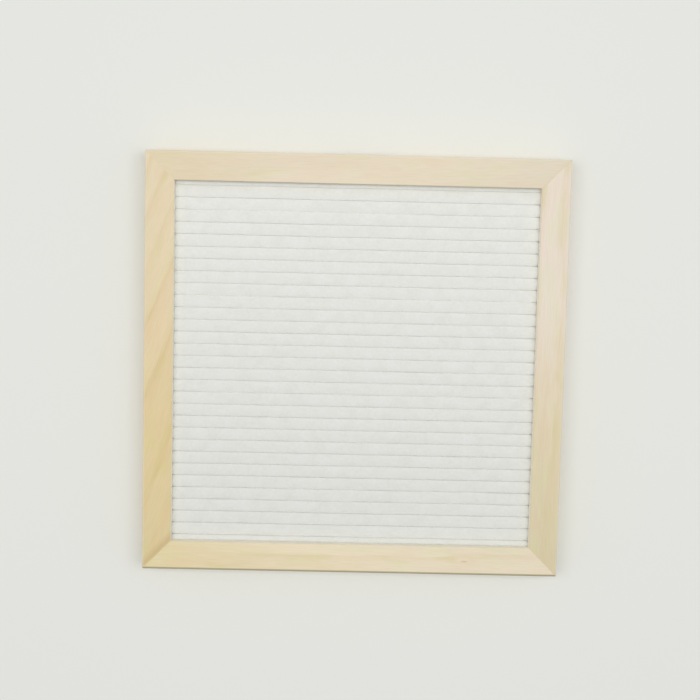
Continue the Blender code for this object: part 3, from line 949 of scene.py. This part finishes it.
def painted_plaster(name, tone, one_sided):
    """Matt paint on plaster. A one-sided wall is clear from behind, and to light behind the board."""
    made, tree, shader = finish_named(name, Roughness=0.9)
    place = tree.nodes.new("ShaderNodeTexCoord").outputs["Object"]
    mottle = add(tree, "TexNoise", {"Vector": place, "Scale": 1 / PLASTER, "Detail": 3.0}).outputs[0]
    bump = add(tree, "Bump", {"Strength": 0.1, "Distance": 0.1 * MM, "Height": mottle}).outputs[0]
    shader.inputs["Base Color"].default_value = linear(tone)
    tree.links.new(bump, shader.inputs["Normal"])
    if one_sided:
        out = out_from_middle(tree, place)
        edge = {"From Min": FRAME_SIDE / 2, "From Max": FRAME_SIDE / 2 - GAP_EDGE}
        behind = add(tree, "MapRange", {"Value": out, **edge}).outputs[0]
        paints = {0: behind, MIX_A: linear(tone), MIX_B: linear(GAP_PAINT)}
        paint = add(tree, "Mix", paints, data_type="RGBA").outputs[MIX_OUT]
        tree.links.new(paint, shader.inputs["Base Color"])
        eye = tree.nodes.new("ShaderNodeLightPath").outputs["Is Camera Ray"]
        light_only = add(tree, "Math", {0: 1.0, 1: eye}, operation="SUBTRACT").outputs[0]
        hole = add(tree, "Math", {0: behind, 1: light_only}, operation="MULTIPLY").outputs[0]
        back = tree.nodes.new("ShaderNodeNewGeometry").outputs["Backfacing"]
        open_share = add(tree, "Math", {0: back, 1: hole}, operation="MAXIMUM").outputs[0]
        clear = tree.nodes.new("ShaderNodeBsdfTransparent").outputs[0]
        both = add(tree, "MixShader", {0: open_share, 1: shader.outputs[0], 2: clear}).outputs[0]
        tree.links.new(both, tree.nodes["Material Output"].inputs["Surface"])
    return made


def stage_plane(name, centre, tilt, finish):
    """A large square, tilted about X, that isn't part of the board."""
    bm = bmesh.new()
    bmesh.ops.create_grid(bm, x_segments=1, y_segments=1, size=STAGE_SIZE / 2)
    tilted = Euler((math.radians(tilt), 0, 0)).to_matrix()
    bmesh.ops.rotate(bm, cent=(0, 0, 0), matrix=tilted, verts=bm.verts)
    bmesh.ops.translate(bm, vec=centre, verts=bm.verts)
    plane = object_of(bm, name)
    plane.data.materials.append(finish)
    return plane


wall_y = frame_high.y + WALL_GAP
wall_centre = (0, wall_y, STAGE_SIZE / 2 - FLOOR_DROP)
wall = stage_plane("wall", wall_centre, 90, painted_plaster("pale_wall_paint", "#E8E9E4", True))
wall.visible_shadow = False
wall.visible_glossy = False
floor_paint = painted_plaster("pale_floor_paint", "#E9E9E6", False)
floor = stage_plane("floor", (0, 0, -FLOOR_DROP), 0, floor_paint)
floor.visible_diffuse = False
print("wall stands", round(wall_y / MM, 1), "mm behind the middle of the frame")

# %% [markdown]
# ## Light
# The room is bright and even: light comes from all round, most of it from eye level and less from
# overhead and underfoot, so every slot keeps a fine shadow and no edge a black one. Lamps alone would
# cast edges, so a pale world gives this part. One wide, soft strip in front adds a little, as a row of
# windows does, and a lamp behind keeps the back readable. Together they are set so that a grey card on
# the wall would render at about its own value.

# %% Lamps and world
LAMPS = {
    "wide_front": dict(place=(0.0, -1.6, 0.34), size=(2.0, 0.6), watts=14),
    "soft_back": dict(place=(0.5, 1.5, 1.1), size=(1.4, 1.4), watts=14),
}
SKY_LEVEL = 0.65
SKY_FALL = 0.43
SKY_LIFT = 0.06


def soft_lamp(name, place, size, watts):
    """A large lamp that faces the board's middle and doesn't show in the picture."""
    data = bpy.data.lights.new(name, "AREA")
    data.shape = "RECTANGLE"
    data.size, data.size_y = size
    data.energy = watts
    lamp = bpy.data.objects.new(name, data)
    lamp.location = place
    lamp.rotation_mode = "QUATERNION"
    lamp.rotation_quaternion = (CENTRE - Vector(place)).to_track_quat("-Z", "Y")
    lamp.visible_camera = False
    bpy.context.scene.collection.objects.link(lamp)


for name, lamp in LAMPS.items():
    soft_lamp(name, **lamp)

world = bpy.data.worlds.new("pale_room")
bpy.context.scene.world = world
world.use_nodes = True
sky = world.node_tree
sky.nodes.clear()
rays = sky.nodes.new("ShaderNodeLightPath").outputs
seen = add(
    sky, "Math", {0: rays["Is Camera Ray"], 1: rays["Is Glossy Ray"]}, operation="MAXIMUM"
).outputs[0]
direction = sky.nodes.new("ShaderNodeTexCoord").outputs["Generated"]
height = add(sky, "SeparateXYZ", {0: direction}).outputs["Z"]
steepness = add(sky, "Math", {0: height, 1: height}, operation="MULTIPLY").outputs[0]
band = add(sky, "Math", {0: steepness, 1: -SKY_FALL, 2: SKY_LEVEL}, operation="MULTIPLY_ADD").outputs[0]
glow = add(sky, "Math", {0: height, 1: SKY_LIFT, 2: band}, operation="MULTIPLY_ADD").outputs[0]
soft = add(sky, "Background", {"Color": linear("#FFFFFF"), "Strength": glow}).outputs[0]
pale = add(sky, "Background", {"Color": linear("#ECEDEA"), "Strength": 1.0}).outputs[0]
both = add(sky, "MixShader", {0: seen, 1: soft, 2: pale}).outputs[0]
add(sky, "OutputWorld", {"Surface": both})
overhead = round(SKY_LEVEL - SKY_FALL + SKY_LIFT, 2)
print("lamps:", len(LAMPS), "sky at eye level:", SKY_LEVEL, "overhead:", overhead)

# %% [markdown]
# ## Camera
# The picture is taken with a long lens from a little above the middle of the board, and the board
# hangs about a degree off level in it. Turning the camera by that degree keeps the board itself
# straight in its own space, which every other use of it needs.

# %% Camera
CAMERA_PLACE = (-0.0136, -0.8477, 0.2250)
CAMERA_AIM = (-0.0028, -0.0090, 0.1372)
CAMERA_ROLL = 1.344
SENSOR = 36.0
LENS = 72.0

camera_data = bpy.data.cameras.new("camera")
camera_data.lens = LENS
camera_data.sensor_width = SENSOR
camera = bpy.data.objects.new("camera", camera_data)
camera.location = CAMERA_PLACE
level = (Vector(CAMERA_AIM) - Vector(CAMERA_PLACE)).to_track_quat("-Z", "Y")
camera.rotation_mode = "QUATERNION"
camera.rotation_quaternion = level @ Euler((0, 0, math.radians(CAMERA_ROLL))).to_quaternion()
bpy.context.scene.collection.objects.link(camera)
bpy.context.scene.camera = camera
bpy.context.scene.view_settings.view_transform = "Standard"
print("camera", round((CENTRE - Vector(CAMERA_PLACE)).length, 3), "m from the middle of the board")

# %% [markdown]
# ## The solids
# The dressed board has to be as large as its solids. The last line prints how many solids were loaded.

# %% Count of the solids
print("sizes of", len(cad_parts), "solids and their finishes written")
